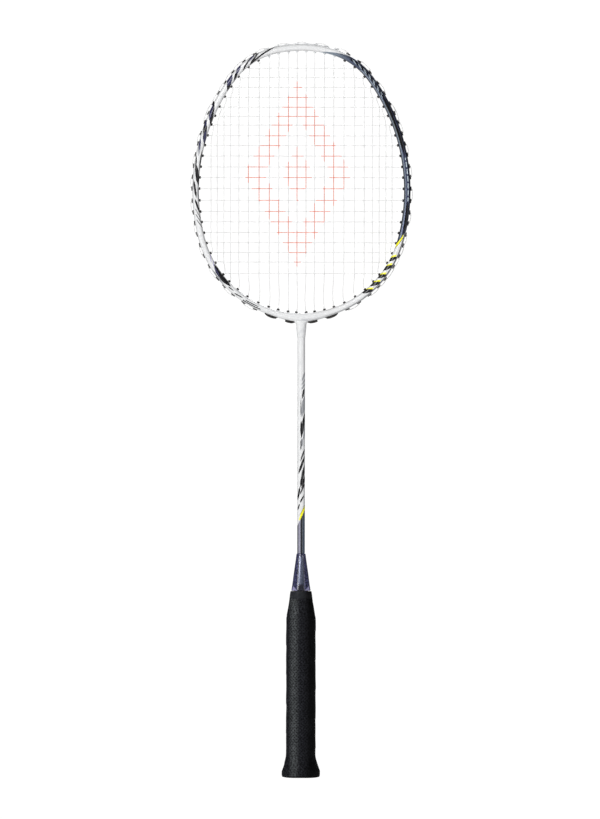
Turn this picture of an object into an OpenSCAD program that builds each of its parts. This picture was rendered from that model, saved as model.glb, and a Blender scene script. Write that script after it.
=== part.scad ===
// Badminton racket: a drilled carbon head, a thin shaft, an octagonal wrapped handle and
// a two-piece string bed of woven mains and crosses. Millimetres, +Z towards the head.
// The origin is the centre of the butt's flat face, the string plane is Y = 0 and the
// front looks along -Y.

/* [Overall] */
// Length of the racket from the butt to the outside of the crown strings
racket_length = 675; // [665:1:680]

/* [Head] */
// Radius of the head's centreline at the crown
crown_radius = 110; // [100:1:120]
// Angle from +Z where the crown arc meets the shoulder arc
crown_end = 12.5; // [10:0.5:14]
// Radius of the centreline at the shoulders
shoulder_radius = 66.6; // [64:0.2:69]
// Angle from +Z where the shoulder arc meets the side arc
shoulder_end = 53.5; // [52:0.5:55]
// Radius of the centreline along the sides
side_radius = 174; // [170:1:178]
// Angle from +Z where the side arc meets the throat arc
side_end = 105; // [103:0.5:107]
// Width of the frame's section in the string plane, at the sides
frame_width = 6; // [5.6:0.1:6.4]
// Depth of the frame's section across the string plane
frame_depth = 10.2; // [9.6:0.1:11]
// Extra width of the section at the crown
crown_extra = 0.3; // [0:0.1:0.5]
// How much wider the section grows outwards where it meets the neck
throat_extra = 2.5; // [2:0.1:2.8]
// Wall thickness of the hollow frame
frame_wall = 1.1; // [0.9:0.1:1.3]

/* [Grommets] */
// Outside diameter of a grommet's barrel
barrel_d = 2.5; // [2.3:0.1:2.7]
// Bore of a grommet
grommet_bore = 1.7; // [1.6:0.05:1.8]
// Diameter of a grommet's flange on the outside of the frame
flange_d = 4.4; // [3.8:0.1:4.8]
// Thickness of a grommet's flange
flange_t = 0.9; // [0.7:0.1:1]
// How far a barrel stands out on the inside of the frame
barrel_proud = 1.3; // [1:0.1:1.6]
// Height of the saddles that guard the strings at the throat
saddle_height = 1.9; // [1.6:0.1:2.1]

/* [Strings] */
// Diameter of the string
string_d = 0.7; // [0.6:0.02:0.72]
// Sides of the string's section in this model
string_sides = 5; // [4:1:6]

/* [Shaft] */
// Outside diameter of the shaft
shaft_d = 7; // [6.8:0.1:7.4]
// Bore of the hollow shaft
shaft_bore = 4.6; // [4.2:0.1:5]
// Height at which the shaft ends inside the handle
shaft_foot = 95; // [80:5:120]
// Height at which the shaft ends inside the neck
shaft_top = 414; // [412:0.5:415]
// Height of the neck's lower end, where the bare shaft begins
neck_foot = 404; // [400:1:407]

/* [Handle] */
// Width of the wooden handle, in the string plane
core_width = 24; // [22:0.5:26]
// Depth of the wooden handle, across the string plane
core_depth = 21; // [19:0.5:23]
// Thickness of the grip tape as it is wrapped
tape_t = 1.75; // [1.5:0.05:2]
// How far the butt flares out on each side
butt_flare = 4; // [3:0.2:5]
// Height at which the handle starts to narrow towards the cone
taper_start = 146; // [142:1:150]
// Height of the top of the wrapped handle
grip_top = 171.5; // [168:0.5:174]
// Diameter of the wrapped handle at its top
grip_top_d = 18.4; // [17.6:0.1:19]
// Thickness of the finishing tape's layers round the top of the grip
finishing_t = 0.3; // [0.2:0.1:0.6]
// Height of the top of the cone
cone_top = 206; // [200:1:212]
// Diameter of the cone at its foot
cone_foot_d = 17.4; // [17:0.1:17.6]
// Diameter of the cone at its top
cone_top_d = 8.4; // [8:0.1:9]

/* [Hidden] */
$fn = 48;

// String pattern: how far the mains stand from the centre line, from the middle outwards
main_x = [4.1, 12, 20.9, 29.5, 38.9, 48.7, 57.5, 65.1, 71.2, 77.3, 83];
// Heights of the crosses, from the top down
row_z = [
    651, 642.4, 633.4, 624.2, 615.2, 606.8, 598.8, 589, 580, 570.4, 560.4,
    550.7, 540.5, 529.8, 519.6, 510.1, 500.3, 491, 481.9, 473.2, 462.7
];
n_cols = 2 * len(main_x);
n_rows = len(row_z);

// Offsets from the frame's surface along its normal
string_r = string_d / 2;
weave = string_r + 0.03;
inner_bend = barrel_proud + 0.4;
loop_rise = flange_t + string_r + 0.11;

// Head centreline: four tangent arcs a side, each with the angle of its outward normal
// from +Z. The throat radius closes the outline on the centre line.
head_top = racket_length - (frame_width + crown_extra) / 2 - loop_rise - string_r;
crown_z = head_top - crown_radius;
shoulder_c = next_centre([0, crown_z], crown_radius, shoulder_radius, crown_end);
side_c = next_centre(shoulder_c, shoulder_radius, side_radius, shoulder_end);
throat_radius = side_radius + side_c[0] / sin(side_end);
throat_c = next_centre(side_c, side_radius, throat_radius, side_end);
head_arcs = [
    [crown_end, crown_radius, [0, crown_z]],
    [shoulder_end, shoulder_radius, shoulder_c],
    [side_end, side_radius, side_c],
    [180, throat_radius, throat_c]
];

function next_centre(c, r_from, r_to, angle) = c + (r_from - r_to) * [sin(angle), cos(angle)];
function arc_at(phi) = [for (a = head_arcs) if (phi <= a[0] + 0.001) a][0];
function folded(phi) = phi > 180 ? 360 - phi : phi;
// The section's inner and outer half widths. It widens evenly at the crown, and only
// outwards near the neck, where it forms a gusset.
crown_power = 4;
gusset_power = 40;
function inner_half(phi) = (frame_width + crown_extra * pow(max(0, cos(phi)), crown_power)) / 2;
function outer_half(phi) = inner_half(phi) + throat_extra * pow(max(0, -cos(phi)), gusset_power);

// A point of the head: phi is the outward normal's angle from +Z towards +X, off is the
// distance outwards from the centreline, side slides it along the frame and y is depth.
function head_point(phi, off, side = 0, y = 0) =
    let (a = arc_at(folded(phi)))
    [turn(phi) * a[2][0] + (a[1] + off) * sin(phi) + side * cos(phi),
     y,
     a[2][1] + (a[1] + off) * cos(phi) - side * sin(phi)];
// The innermost holes at the throat lean away from the neck, the rest are square to the head
throat_lean = 0.25;
function turn(phi) = phi > 180 ? -1 : 1;
function leans(phi) = abs(folded(phi) - low_holes[0]) < 0.01;
function hole_point(phi, off, side, y) =
    head_point(phi, off, side - (leans(phi) ? turn(phi) * throat_lean * off : 0), y);
// A point at a hole, outwards from the frame's outer face or inwards from its inner one
function outside(phi, d, side = 0, y = 0) = hole_point(phi, outer_half(phi) + d, side, y);
function inside(phi, d, side = 0, y = 0) = hole_point(phi, -inner_half(phi) - d, side, y);

// Angles of the holes. A string leaves its barrel at the wanted x or z, so each arc is
// tried at the depth of the inner bend, and the angle that falls within its own arc holds.
function bend_radius(a, phi) = a[1] - inner_half(phi) - inner_bend;
function from_end(k) = k == 0 ? 0 : head_arcs[k - 1][0];
function hole_for_x(x, upper) =
    [for (k = [0:len(head_arcs) - 1])
        let (a = head_arcs[k],
             mid = (from_end(k) + a[0]) / 2,
             s1 = (x - a[2][0]) / bend_radius(a, mid),
             g = asin(min(1, s1)),
             g2 = upper ? g : 180 - g,
             s2 = (x - a[2][0]) / bend_radius(a, g2),
             h = asin(min(1, s2)),
             phi = upper ? h : 180 - h)
        if (s2 <= 1 && phi >= from_end(k) && phi <= a[0]) phi][0];
function hole_for_z(z) =
    [for (k = [0:len(head_arcs) - 1])
        let (a = head_arcs[k],
             c = (z - a[2][1]) / bend_radius(a, 90),
             phi = acos(max(-1, min(1, c))))
        if (abs(c) <= 1 && phi >= from_end(k) && phi <= a[0]) phi][0];

// Outer mains share a hole with a cross: main 6 to 10 with crosses 1 to 5, main 11 with
// cross 7 at the top, and mains 11 to 9 with crosses 19 to 21 lower down. Such a hole lies
// at the cross's height, and its main slants a little to reach it.
top_partner = [for (i = [0:len(main_x) - 1]) i < 5 ? -1 : i < 10 ? i - 5 : 6];
low_partner = [for (i = [0:len(main_x) - 1]) i < 8 ? -1 : 28 - i];
function main_hole(i, upper) =
    let (row = upper ? top_partner[i] : low_partner[i],
         shift = i == 0 && !upper ? throat_lean * (inner_half(180) + inner_bend) : 0)
    row < 0 ? hole_for_x(main_x[i] + shift, upper) : hole_for_z(row_z[row]);
top_holes = [for (i = [0:len(main_x) - 1]) main_hole(i, true)];
low_holes = [for (i = [0:len(main_x) - 1]) main_hole(i, false)];
row_holes = [for (z = row_z) hole_for_z(z)];
upper_row = 5;
side_holes = [for (r = [7:17]) row_holes[r]];

/* ---- shapes used by several pieces ---- */

// A tube of points around a path that stays near the string plane
function ring(p, t, r, n) =
    let (u = unit(cross(t, [0, 1, 0])), v = cross(u, t))
    [for (k = [0:n - 1]) p + r * (cos(360 * k / n) * u + sin(360 * k / n) * v)];
function unit(v) = v / norm(v);
function leg(path, i) = unit(path[i + 1] - path[i]);
function tangent(path, i) =
    let (last = len(path) - 1)
    unit(leg(path, min(i, last - 1)) + leg(path, max(i - 1, 0)));

module cord_along(path, r, n) {
    last = len(path) - 1;
    points = [for (i = [0:last]) each ring(path[i], tangent(path, i), r, n)];
    faces = concat(
        [[for (k = [n - 1:-1:0]) k]],
        [for (i = [0:last - 1], k = [0:n - 1])
            let (a = i * n + k, b = i * n + (k + 1) % n)
            each [[a, b, b + n], [a, b + n, a + n]]],
        [[for (k = [0:n - 1]) last * n + k]]
    );
    polyhedron(points, faces);
}

// The frame's section swept round the head, or along part of it
section_sides = 16;
hollow_sides = 8;
head_steps = 96;
section_power = 2.5;
function section(sides) =
    [for (k = [0:sides - 1])
        let (a = 360 * (k + 0.5) / sides, c = cos(a), s = sin(a))
        [sign(c) * pow(abs(c), 2 / section_power), sign(s) * pow(abs(s), 2 / section_power)]];
function section_ring(phi, shrink, sides) =
    [for (q = section(sides))
        let (half = q[0] > 0 ? outer_half(phi) : inner_half(phi))
        head_point(phi, (half - shrink) * q[0], 0, (frame_depth / 2 - shrink) * q[1])];

module swept_head(shrink, sides) {
    points = [for (i = [0:head_steps - 1]) each section_ring(360 * i / head_steps, shrink, sides)];
    total = head_steps * sides;
    faces = [for (i = [0:head_steps - 1], k = [0:sides - 1])
        let (a = i * sides + k, b = i * sides + (k + 1) % sides)
        each [[a, b, (b + sides) % total], [a, (b + sides) % total, (a + sides) % total]]];
    polyhedron(points, faces);
}

// The stretch of it that lies within reach steps of the neck
module swept_throat(shrink, sides, reach) {
    steps = 2 * reach;
    points = [for (i = [0:steps])
        each section_ring(180 + (i - reach) * 360 / head_steps, shrink, sides)];
    last = steps * sides;
    faces = concat(
        [[for (k = [sides - 1:-1:0]) k]],
        [for (i = [0:steps - 1], k = [0:sides - 1])
            let (a = i * sides + k, b = i * sides + (k + 1) % sides)
            each [[a, b, b + sides], [a, b + sides, a + sides]]],
        [[for (k = [0:sides - 1]) last + k]]
    );
    polyhedron(points, faces);
}

// Puts its children at a hole, with +Z outwards along the hole. The small turn about the
// hole's own axis keeps each cylinder's seam off the frame's edges.
seam_turn = 7;
module at_hole(phi) {
    tilt = leans(phi) ? turn(phi) * atan(throat_lean) : 0;
    translate(head_point(phi, 0)) rotate([0, phi - tilt, 0]) rotate([0, 0, seam_turn]) children();
}
function both_sides(holes) = concat(holes, [for (h = holes) 360 - h]);
module drill_holes(holes, d) {
    for (h = holes) at_hole(h) cylinder(d = d, h = 4 * frame_width, center = true);
}

/* ---- head ---- */

hole_clearance = 0.1;
all_holes = both_sides(concat(top_holes, [row_holes[upper_row]], side_holes, low_holes));

module head_frame() {
    color("white")
    difference() {
        swept_head(0, section_sides);
        swept_head(frame_wall, hollow_sides);
        drill_holes(all_holes, barrel_d + hole_clearance);
        t_stem(stem_gap);
    }
}

// Inner T-joint: a stem in the shaft's bore and two arms inside the hollow throat
t_arm_reach = 14;
t_stem_foot = 392;
stem_gap = 0.05;
t_stem_d = shaft_bore - 2 * stem_gap;
throat_z = throat_c[1] - throat_radius;
module t_stem(gap) {
    translate([0, 0, t_stem_foot])
    cylinder(d = t_stem_d + 2 * gap, h = throat_z - t_stem_foot);
}
arm_gap = 0.2;
module t_arms() {
    arm_w = frame_width - 2 * (frame_wall + arm_gap);
    arm_d = arm_w - arm_gap;
    translate([0, 0, throat_c[1]]) rotate([90, 0, 0]) rotate([0, 0, 270 - t_arm_reach])
    rotate_extrude(angle = 2 * t_arm_reach, $fn = 96)
    translate([throat_radius, 0]) square([arm_w, arm_d], center = true);
}
module t_joint() {
    color("dimgray")
    difference() {
        union() {
            t_arms();
            t_stem(0);
        }
        drill_holes(both_sides([for (i = [0:2]) low_holes[i]]), barrel_d + 2 * hole_clearance);
    }
}

// Outer neck: from the shaft's diameter up to the underside of the throat
neck_d = 9.7;
neck_lip = 0.3;
neck_fillet = 1.6;
neck_sink = 1.5;
eave = throat_z - outer_half(180);
module throat_neck() {
    fillet_foot = eave - neck_fillet;
    top = eave + neck_sink;
    color("white")
    difference() {
        intersection() {
            rotate_extrude()
            polygon(concat(
                [[0, neck_foot], [shaft_d / 2 + neck_lip, neck_foot],
                 [neck_d / 2 - neck_lip / 2, fillet_foot - neck_lip * 10]],
                [for (a = [0:15:75])
                    [neck_d / 2 + neck_fillet * (1 - cos(a)), fillet_foot + neck_fillet * sin(a)]],
                [[neck_d / 2 + neck_fillet, top], [0, top]]
            ));
            translate([0, 0, eave])
            cube([frame_width * 6, frame_depth - neck_lip, frame_width * 10], center = true);
        }
        swept_throat(0, section_sides, 3);
        translate([0, 0, neck_foot - 1]) cylinder(d = shaft_d + 0.04, h = shaft_top - neck_foot + 1);
        t_stem(stem_gap);
    }
}

/* ---- shaft and handle ---- */

module shaft() {
    color("midnightblue")
    translate([0, 0, shaft_foot])
    difference() {
        cylinder(d = shaft_d, h = shaft_top - shaft_foot);
        translate([0, 0, -1]) cylinder(d = shaft_bore, h = shaft_top - shaft_foot + 2);
    }
}

spigot_d = 13;
spigot_top = 181;
spigot_gap = 0.1;
cone_foot = grip_top + 0.2;
cone_edge = 0.4;
cone_collar = 6;
cone_swell = 0.5;
shaft_gap = 0.05;
module cone_cap() {
    foot_r = cone_foot_d / 2;
    top_r = cone_top_d / 2;
    color("darkslateblue")
    difference() {
        rotate_extrude()
        polygon([
            [0, cone_foot], [foot_r - cone_edge, cone_foot], [foot_r, cone_foot + cone_edge],
            [foot_r - 2 * cone_edge, cone_foot + cone_collar],
            [top_r + cone_swell, cone_top - cone_collar],
            [top_r, cone_top - cone_edge], [top_r - cone_edge, cone_top], [0, cone_top]
        ]);
        translate([0, 0, cone_foot - 1])
        cylinder(d = spigot_d + 2 * spigot_gap, h = spigot_top - cone_foot + 1 + 2 * spigot_gap);
        cylinder(d = shaft_d + 2 * shaft_gap, h = cone_top + 1);
    }
}

// How far the flared butt stands beyond the handle's straight part at height z
flare_top = 21;
flare_foot = 6.5;
flare_steps = 8;
flare_power = 1.35;
butt_round = 3.2;
function flare(z) = butt_flare * pow((flare_top - z) / (flare_top - flare_foot), flare_power);
// One face's outline: a rounded butt, the flare, the straight part at half, then the
// narrowing to top_half, which is the same for every face, so the top is a regular octagon
taper_ease = [0.17, 2];
function face_outline(half, top_half) = concat(
    [for (a = [0:22.5:90])
        [half + butt_flare - butt_round * (1 - sin(a)), butt_round * (1 - cos(a))]],
    [[half + butt_flare, flare_foot]],
    [for (k = [1:flare_steps])
        let (z = flare_foot + (flare_top - flare_foot) * k / flare_steps) [half + flare(z), z]],
    [[half, taper_start], [half - taper_ease[0], taper_start + taper_ease[1]],
     [top_half, grip_top]]
);
// The eight corners of an octagon whose sides lie at x = +-w, y = +-d and b along the diagonals
function octagon_corners(w, d, b, z) =
    let (side_y = b * sqrt(2) - w, end_x = b * sqrt(2) - d)
    [[w, -side_y, z], [w, side_y, z], [end_x, d, z], [-end_x, d, z],
     [-w, side_y, z], [-w, -side_y, z], [-end_x, -d, z], [end_x, -d, z]];
// An octagonal handle body grown by t on every face
bevel_rise = 0.3;
module octagon_body(t) {
    bevel = (core_width + core_depth) / 4 + bevel_rise;
    top_half = grip_top_d / 2 - finishing_t - tape_t + t;
    wide = face_outline(core_width / 2 + t, top_half);
    deep = face_outline(core_depth / 2 + t, top_half);
    diagonal = face_outline(bevel + t, top_half);
    levels = len(wide);
    points = [for (i = [0:levels - 1])
        each octagon_corners(wide[i][0], deep[i][0], diagonal[i][0], wide[i][1])];
    sides = [for (i = [0:levels - 2]) for (k = [0:7])
        let (a = 8 * i + k, b = 8 * i + (k + 1) % 8)
        each [[a, b + 8, b], [a, a + 8, b + 8]]];
    ends = [[for (k = [0:7]) k], [for (k = [7:-1:0]) 8 * (levels - 1) + k]];
    polyhedron(points, concat(sides, ends));
}
// The stretch between two heights, wider than any part of the handle
module slab(from, to) {
    translate([0, 0, from]) cylinder(d = 3 * core_width, h = to - from);
}

core_foot = 3.4;
socket_room = 10;
module handle_core() {
    color("burlywood")
    difference() {
        union() {
            intersection() {
                octagon_body(0);
                slab(core_foot, grip_top + 1);
            }
            translate([0, 0, grip_top - 2]) cylinder(d = spigot_d, h = spigot_top - grip_top + 2);
        }
        translate([0, 0, shaft_foot - socket_room]) cylinder(d = shaft_d + 2 * shaft_gap, h = spigot_top);
        butt_staples();
    }
}

cap_t = 3.3;
module butt_cap() {
    color("black")
    intersection() {
        octagon_body(-0.1);
        slab(-1, cap_t);
    }
}

// Two wire staples that hold the start of the grip tape to the wood, under its second layer
staple_w = 7;
staple_wire = 0.6;
staple_leg = 3.5;
staple_z = 5;
module butt_staples() {
    crown_y = core_depth / 2 + butt_flare + tape_t / 2;
    color("silver")
    for (s = [-1, 1])
        translate([0, s * crown_y, staple_z])
        union() {
            cube([staple_w, staple_wire, staple_wire], center = true);
            for (e = [-1, 1])
                translate([e * (staple_w - staple_wire) / 2, -s * (staple_leg - staple_wire) / 2, 0])
                cube([staple_wire, staple_leg, staple_wire], center = true);
        }
}

tape_foot = 1.2;
tape_end = grip_top - 0.2;
module grip_tape() {
    color("black")
    difference() {
        intersection() {
            octagon_body(tape_t);
            slab(tape_foot, tape_end);
        }
        octagon_body(0.02);
        butt_staples();
    }
}

finishing_foot = 165;
module finishing_tape() {
    color("black")
    intersection() {
        difference() {
            octagon_body(tape_t + finishing_t);
            octagon_body(tape_t + 0.02);
        }
        slab(finishing_foot, grip_top + 1);
    }
}

/* ---- grommets ---- */

flange_lift = 0.03;
grommet_edge = 0.3;
module grommet(phi) {
    tip = -inner_half(phi) - barrel_proud;
    seat = outer_half(phi) + flange_lift;
    top = outer_half(phi) + flange_t;
    bore_r = grommet_bore / 2;
    barrel_r = barrel_d / 2;
    flange_r = flange_d / 2;
    at_hole(phi)
    rotate_extrude()
    polygon([
        [bore_r, tip], [barrel_r - grommet_edge / 2, tip], [barrel_r, tip + grommet_edge],
        [barrel_r, seat], [flange_r, seat], [flange_r, top - grommet_edge],
        [flange_r - grommet_edge, top], [bore_r, top]
    ]);
}
module grommets(holes, tint) {
    color(tint) for (h = holes) grommet(h);
}
function left(holes) = [for (h = holes) 360 - h];

crown_set = [for (i = [0:3]) top_holes[i]];
shoulder_set = [for (i = [4:9]) top_holes[i]];
side_set = concat([row_holes[upper_row], top_holes[10]], side_holes);
lower_set = [for (i = [8:10]) low_holes[i]];
throat_set = [for (i = [4:7]) low_holes[i]];

// The grommets of the crown's own arc are joined by a strip that follows its outer face
strip_lift = 0.13;
strip_t = 0.4;
strip_w = 4;
strip_reach = 13;
module crown_strip() {
    color("whitesmoke")
    difference() {
        translate([0, 0, crown_z]) rotate([90, 0, 0]) rotate([0, 0, 90 - strip_reach])
        rotate_extrude(angle = 2 * strip_reach, $fn = 96)
        translate([crown_radius + outer_half(0) + strip_lift, -strip_w / 2]) square([strip_t, strip_w]);
        drill_holes(both_sides(crown_set), barrel_d + 2 * strip_lift);
    }
}
module crown_grommets() {
    union() {
        crown_strip();
        grommets(both_sides(crown_set), "whitesmoke");
    }
}
module left_shoulder_grommets() { grommets(left(shoulder_set), "black"); }
module right_shoulder_grommets() { grommets(shoulder_set, "black"); }
module left_side_grommets() { grommets(left(side_set), "black"); }
module right_side_grommets() { grommets(side_set, "black"); }
module left_lower_grommets() { grommets(left(lower_set), "black"); }
module right_lower_grommets() { grommets(lower_set, "black"); }
module left_throat_grommets() { grommets(left(throat_set), "black"); }
module right_throat_grommets() { grommets(throat_set, "black"); }

// A saddle joins two grommets under the throat and guards the string between them in a groove
saddle_w = 5;
saddle_gap = 0.1;
saddle_overlap = 0.9;
groove_w = 1.7;
groove_floor = 0.5;
bump_r = 12;
function exit_angle(phi) =
    phi - (leans(phi) ? turn(phi) * throat_lean * outer_half(phi) / throat_radius * 180 / PI : 0);
module throat_band(mid, spread, from_r, to_r, w) {
    translate([0, 0, throat_c[1]]) rotate([90, 0, 0]) rotate([0, 0, 90 - mid - spread])
    rotate_extrude(angle = 2 * spread, $fn = 96)
    translate([from_r, -w / 2]) square([to_r - from_r, w]);
}
module saddle(a, b) {
    mid = (exit_angle(a) + exit_angle(b)) / 2;
    spread = abs(exit_angle(a) - exit_angle(b)) / 2 + saddle_overlap;
    base_r = throat_radius + outer_half(mid) + saddle_gap;
    top_r = base_r + saddle_height;
    color("black")
    difference() {
        union() {
            difference() {
                intersection() {
                    throat_band(mid, spread, base_r - 1, top_r, saddle_w);
                    translate([throat_c[0], 0, throat_c[1]]) rotate([0, mid, 0])
                    translate([0, 0, top_r - bump_r]) rotate([90, 0, 0])
                    cylinder(r = bump_r, h = saddle_w + 2, center = true);
                }
                swept_throat(-saddle_gap, section_sides, 6);
            }
            for (h = [a, b])
                at_hole(h) translate([0, 0, -inner_half(h) - barrel_proud])
                cylinder(d = barrel_d, h = inner_half(h) + barrel_proud + outer_half(h) + groove_floor);
        }
        throat_band(mid, spread + 1, base_r + groove_floor, top_r + 1, groove_w);
        translate([0, 0, neck_foot])
        cylinder(d = neck_d + 2 * (neck_fillet + saddle_gap), h = eave - neck_foot);
        for (h = [a, b]) at_hole(h) cylinder(d = grommet_bore, h = 4 * frame_width, center = true);
    }
}
module left_outer_saddle() { saddle(360 - low_holes[3], 360 - low_holes[2]); }
module left_inner_saddle() { saddle(360 - low_holes[1], 360 - low_holes[0]); }
module right_inner_saddle() { saddle(low_holes[0], low_holes[1]); }
module right_outer_saddle() { saddle(low_holes[2], low_holes[3]); }

/* ---- strings ---- */

half_cols = n_cols / 2;
function col_side(c) = c < half_cols ? -1 : 1;
function col_main(c) = c < half_cols ? half_cols - 1 - c : c - half_cols;
function col_x(c) = col_side(c) * main_x[col_main(c)];
function col_hole(c, upper) =
    let (h = upper ? top_holes[col_main(c)] : low_holes[col_main(c)])
    col_side(c) < 0 ? 360 - h : h;
function row_hole(r, right) = right ? row_holes[r] : 360 - row_holes[r];
// Mains lie behind the string plane where over is +1, and crosses lie the other way
function over(c, r) = (c + r) % 2 == 0 ? 1 : -1;
// Two strings count as crossing where they meet this far short of a main's hole, and this
// far short of a cross's, or more. A crossing nearer the frame than side_room is drawn in.
crossing_gap = 1.5;
side_gap = 0.5;
side_room = 2.2;
function col_z(c, upper) = inside(col_hole(c, upper), inner_bend)[2];
function row_x(r) = inside(row_holes[r], inner_bend)[0];
function crossed(c, r) =
    row_z[r] < col_z(c, true) - crossing_gap && row_z[r] > col_z(c, false) + crossing_gap
    && abs(col_x(c)) < row_x(r) - side_gap;
function crossing_x(c, r) = col_side(c) * min(main_x[col_main(c)], row_x(r) - side_room);

// Points of a string through a hole, from the inner bend to the loop outside. way is +1
// when the loop goes on towards a larger angle.
bend_depth = 0.5;
loop_turn = [0.22, 0.8];
function through(phi, y, way) = [
    inside(phi, inner_bend, 0, y),
    inside(phi, barrel_proud - bend_depth, 0, y),
    outside(phi, flange_t - string_r, 0, y),
    outside(phi, loop_rise - 0.3, loop_turn[0] * way, y),
    outside(phi, loop_rise, loop_turn[1] * way, y)
];
function reversed(list) = [for (i = [len(list) - 1:-1:0]) list[i]];
function way_to(from, to) = let (d = (to - from + 540) % 360 - 180) d > 0 ? 1 : -1;

// A tie-off: the tail goes on round the outside and comes back in at a neighbour's hole
knot_r = 0.95;
knot_stand = 1.2;
knot_lift = 3.4;
function knot_point(phi, y) = inside(phi, barrel_proud + knot_stand, 0, knot_lift * y);
function tail(phi, from, y) = concat(
    reversed(through(phi, y, way_to(phi, from))),
    [inside(phi, barrel_proud + knot_stand - 0.4, 0, 2 * y), knot_point(phi, y)]
);

// The depths at which the two strings pass through the frame
main_y = weave;
cross_y = -weave;
function col_run(c) =
    let (up = c % 2 == 0,
         rows = [for (r = [0:n_rows - 1])
             if (crossed(c, r)) [crossing_x(c, r), weave * over(c, r), row_z[r]]])
    up ? reversed(rows) : rows;
main_start = col_hole(0, false);
main_end = col_hole(n_cols - 1, false);
main_start_tie = row_hole(17, false);
main_end_tie = row_hole(17, true);
function col_enter(c) =
    let (up = c % 2 == 0, h = col_hole(c, !up),
         from = c == 0 ? main_start_tie : col_hole(c - 1, !up))
    reversed(through(h, main_y, way_to(h, from)));
function col_leave(c) =
    let (up = c % 2 == 0, h = col_hole(c, up),
         to = c == n_cols - 1 ? main_end_tie : col_hole(c + 1, up))
    through(h, main_y, way_to(h, to));
main_path = concat(
    reversed(tail(main_start_tie, main_start, main_y)),
    [for (c = [0:n_cols - 1]) each concat(col_enter(c), col_run(c), col_leave(c))],
    tail(main_end_tie, main_end, main_y)
);

function row_run(r) =
    let (right = r % 2 == 0,
         cols = [for (c = [0:n_cols - 1])
             if (crossed(c, r)) [crossing_x(c, r), -weave * over(c, r), row_z[r]]])
    right ? cols : reversed(cols);
cross_start = row_hole(0, false);
cross_end = row_hole(n_rows - 1, true);
cross_start_tie = col_hole(half_cols - 5, true);
cross_end_tie = col_hole(half_cols + 7, false);
function row_enter(r) =
    let (right = r % 2 == 0, h = row_hole(r, !right),
         from = r == 0 ? cross_start_tie : row_hole(r - 1, !right))
    reversed(through(h, cross_y, way_to(h, from)));
function row_leave(r) =
    let (right = r % 2 == 0, h = row_hole(r, right),
         to = r == n_rows - 1 ? cross_end_tie : row_hole(r + 1, right))
    through(h, cross_y, way_to(h, to));
cross_path = concat(
    reversed(tail(cross_start_tie, cross_start, cross_y)),
    [for (r = [0:n_rows - 1]) each concat(row_enter(r), row_run(r), row_leave(r))],
    tail(cross_end_tie, cross_end, cross_y)
);

module main_string() {
    color("gainsboro") {
        cord_along(main_path, string_r, string_sides);
        translate(knot_point(main_start_tie, main_y)) sphere(r = knot_r, $fn = 16);
        translate(knot_point(main_end_tie, main_y)) sphere(r = knot_r, $fn = 16);
    }
}
module cross_string() {
    color("gainsboro") {
        cord_along(cross_path, string_r, string_sides);
        translate(knot_point(cross_start_tie, cross_y)) sphere(r = knot_r, $fn = 16);
        translate(knot_point(cross_end_tie, cross_y)) sphere(r = knot_r, $fn = 16);
    }
}

head_frame();
t_joint();
throat_neck();
shaft();
cone_cap();
handle_core();
butt_cap();
butt_staples();
grip_tape();
finishing_tape();
crown_grommets();
left_shoulder_grommets();
right_shoulder_grommets();
left_side_grommets();
right_side_grommets();
left_lower_grommets();
right_lower_grommets();
left_throat_grommets();
right_throat_grommets();
left_outer_saddle();
left_inner_saddle();
right_inner_saddle();
right_outer_saddle();
main_string();
cross_string();
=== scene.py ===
"""A badminton racket: painted hoop and shaft, woven string bed, faceted cone and wrapped grip.
Lengths are in millimetres until a mesh is made. +X is right seen from the front, +Z is up
towards the head, and the string plane is Y = 0."""

import math

import bpy
import numpy as np
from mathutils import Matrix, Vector


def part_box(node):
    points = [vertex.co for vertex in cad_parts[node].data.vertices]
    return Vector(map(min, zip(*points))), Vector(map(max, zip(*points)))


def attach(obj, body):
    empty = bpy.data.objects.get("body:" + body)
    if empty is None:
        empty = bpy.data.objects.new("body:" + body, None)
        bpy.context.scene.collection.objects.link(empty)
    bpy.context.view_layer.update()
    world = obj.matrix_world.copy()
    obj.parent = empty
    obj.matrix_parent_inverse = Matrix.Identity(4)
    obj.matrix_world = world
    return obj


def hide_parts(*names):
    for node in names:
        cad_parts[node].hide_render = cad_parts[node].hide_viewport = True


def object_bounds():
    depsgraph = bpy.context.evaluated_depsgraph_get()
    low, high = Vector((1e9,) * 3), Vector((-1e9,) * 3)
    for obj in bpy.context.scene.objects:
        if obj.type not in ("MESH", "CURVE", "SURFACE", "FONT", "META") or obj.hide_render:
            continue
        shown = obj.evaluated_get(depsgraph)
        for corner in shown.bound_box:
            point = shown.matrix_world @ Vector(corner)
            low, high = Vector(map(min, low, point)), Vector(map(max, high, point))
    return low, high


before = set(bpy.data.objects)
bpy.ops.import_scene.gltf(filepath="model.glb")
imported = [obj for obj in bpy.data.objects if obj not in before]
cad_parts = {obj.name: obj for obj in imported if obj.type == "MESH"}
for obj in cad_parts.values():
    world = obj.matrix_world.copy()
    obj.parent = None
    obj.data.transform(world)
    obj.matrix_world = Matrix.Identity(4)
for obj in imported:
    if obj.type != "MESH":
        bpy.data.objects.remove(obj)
cad_box = [list(corner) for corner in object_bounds()]

MM = 0.001
BODY = "root"

# ---- driving dimensions ----

# Head centreline: four tangent arcs a side, each with the angle of its outward normal from
# +Z where it ends, and its radius
ARC_ENDS = [12.5, 53.5, 105, 180]
ARC_RADII = [110, 66.6, 174]
FRAME_WIDTH = 6
FRAME_DEPTH = 10.2
CROWN_EXTRA = 0.3
THROAT_EXTRA = 2.5
GUSSET_POWER = 40
SECTION_POWER = 2.5

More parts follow.
